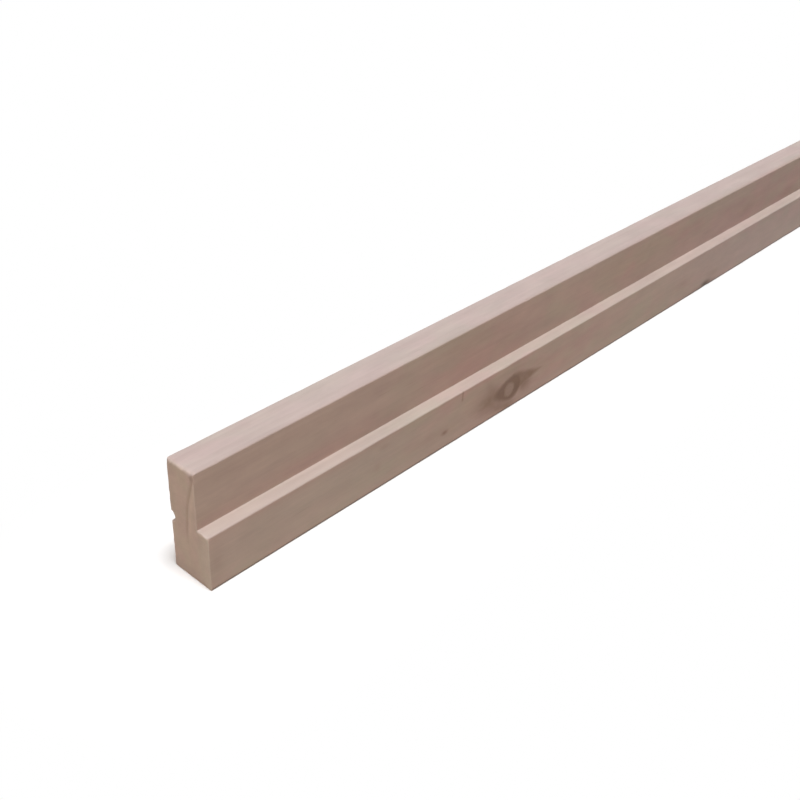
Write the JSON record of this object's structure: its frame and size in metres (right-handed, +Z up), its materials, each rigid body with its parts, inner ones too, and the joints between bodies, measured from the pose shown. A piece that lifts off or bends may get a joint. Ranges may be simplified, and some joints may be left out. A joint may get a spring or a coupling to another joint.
{
  "type": "door jamb",
  "caption": "Rebated softwood door jamb leg: one planed length with a door rebate along its front and a half-round groove along its back.",
  "frame": {"origin": "middle of the narrow face that the jamb lies on, so the floor is at Z 0", "axes": "+X along the length, +Y towards the plain back (the rebated side faces -Y), +Z up across the jamb's width"},
  "size_m": [2.1, 0.038, 0.09],
  "materials": {
    "planed_softwood": "planed, unfinished"
  },
  "bodies": {
    "root": {"jamb": "planed_softwood"}
  },
  "joints": []
}
